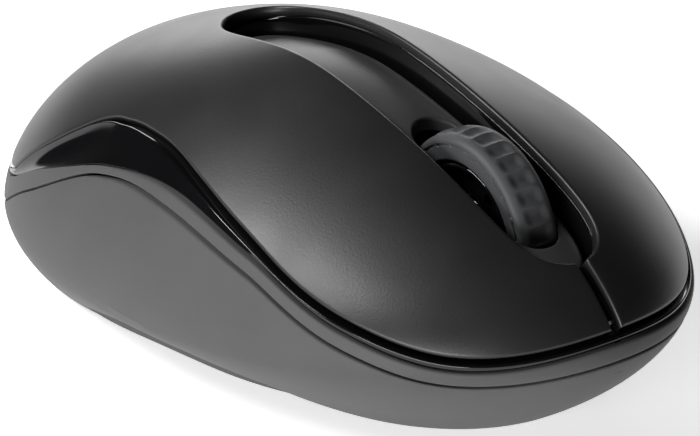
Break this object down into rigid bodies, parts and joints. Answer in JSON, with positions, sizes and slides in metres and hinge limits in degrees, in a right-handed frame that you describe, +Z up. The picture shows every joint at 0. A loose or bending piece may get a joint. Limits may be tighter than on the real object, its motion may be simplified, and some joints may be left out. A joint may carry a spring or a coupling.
{
  "type": "computer mouse",
  "caption": "Compact cordless mouse with one-piece arched cover, sprung click plates, clickable scroll wheel in a long top recess, optical sensor and sliding cell door.",
  "frame": {"origin": "middle of the footprint, on the surface the mouse rests on", "axes": "+Z up, nose and wheel toward -Y, tail toward +Y, the user's left button on +X"},
  "size_m": [0.0626, 0.095, 0.0314],
  "materials": {
    "cover_plastic": "fine grain, matte charcoal",
    "gloss_plastic": "high gloss black",
    "base_plastic": "matte mid grey",
    "tyre_rubber": "satin dark grey",
    "steel": "plain",
    "board_laminate": "solder mask",
    "chip_resin": "moulded",
    "white_nylon": "satin",
    "lens_polycarbonate": "clear",
    "foot_ptfe": "slick",
    "cell_jacket": "printed sleeve, plain"
  },
  "bodies": {
    "body": {"base_shell": "base_plastic", "belt_frame": "base_plastic", "gloss_trim": "gloss_plastic", "palm_cover": "cover_plastic", "nose_divider": "gloss_plastic", "centre_tray": "gloss_plastic", "centre_spine": "cover_plastic", "carrier_spring": "steel", "main_board": "board_laminate", "left_switch": "chip_resin", "right_switch": "chip_resin", "middle_switch": "chip_resin", "wheel_emitter": "lens_polycarbonate", "wheel_detector": "chip_resin", "sensor_chip": "chip_resin", "sensor_led": "lens_polycarbonate", "sensor_lens": "lens_polycarbonate", "controller_chip": "chip_resin", "capacitor": "steel", "battery_bay": "chip_resin", "battery_cell": "cell_jacket", "contact_plate": "steel", "contact_spring": "steel", "foot_1": "foot_ptfe", "foot_2": "foot_ptfe", "foot_3": "foot_ptfe", "foot_4": "foot_ptfe", "case_screw_1": "steel", "case_screw_2": "steel", "board_screw_1": "steel", "board_screw_2": "steel", "power_switch": "chip_resin"},
    "left_click": {"left_button": "cover_plastic"},
    "right_click": {"right_button": "cover_plastic"},
    "left_cap": {"left_plunger": "white_nylon"},
    "right_cap": {"right_plunger": "white_nylon"},
    "carrier": {"wheel_carrier": "white_nylon"},
    "wheel": {"wheel_tyre": "tyre_rubber", "wheel_hub": "gloss_plastic", "wheel_axle": "steel"},
    "middle_cap": {"middle_plunger": "white_nylon"},
    "door": {"battery_door": "base_plastic"},
    "slider": {"power_slider": "white_nylon"}
  },
  "joints": [
    {"name": "left_press", "type": "hinge", "parent": "body", "child": "left_click", "pos_m": [0, 0.008, 0.027], "axis": [1, 0, 0], "range_deg": [0, 0.5], "stiffness_Nm_per_rad": 3.4, "springref_deg": -0.06},
    {"name": "right_press", "type": "hinge", "parent": "body", "child": "right_click", "pos_m": [0, 0.008, 0.027], "axis": [1, 0, 0], "range_deg": [0, 0.5], "stiffness_Nm_per_rad": 3.4, "springref_deg": -0.06},
    {"name": "left_switch_travel", "type": "slide", "parent": "body", "child": "left_cap", "axis": [0, 0, -1], "range_m": [0, 0.0003]},
    {"name": "right_switch_travel", "type": "slide", "parent": "body", "child": "right_cap", "axis": [0, 0, -1], "range_m": [0, 0.0003]},
    {"name": "wheel_press", "type": "hinge", "parent": "body", "child": "carrier", "pos_m": [0, -0.008, 0.0167], "axis": [1, 0, 0], "range_deg": [0, 1], "stiffness_Nm_per_rad": 0.67, "springref_deg": -0.11},
    {"name": "middle_switch_travel", "type": "slide", "parent": "body", "child": "middle_cap", "axis": [0, 0, -1], "range_m": [0, 0.0004]},
    {"name": "wheel_spin", "type": "hinge", "parent": "carrier", "child": "wheel", "pos_m": [0, -0.0235, 0.0189], "axis": [1, 0, 0], "continuous": true},
    {"name": "battery_door_slide", "type": "slide", "parent": "body", "child": "door", "axis": [0, 1, 0], "range_m": [0, 0.045]},
    {"name": "power_slide", "type": "slide", "parent": "body", "child": "slider", "axis": [0, 1, 0], "range_m": [0, 0.0034]}
  ],
  "couplings": [
    {"joint": "left_switch_travel", "follows": "left_press", "m_per_rad": 0.032},
    {"joint": "right_switch_travel", "follows": "right_press", "m_per_rad": 0.032},
    {"joint": "middle_switch_travel", "follows": "wheel_press", "m_per_rad": 0.0214}
  ]
}
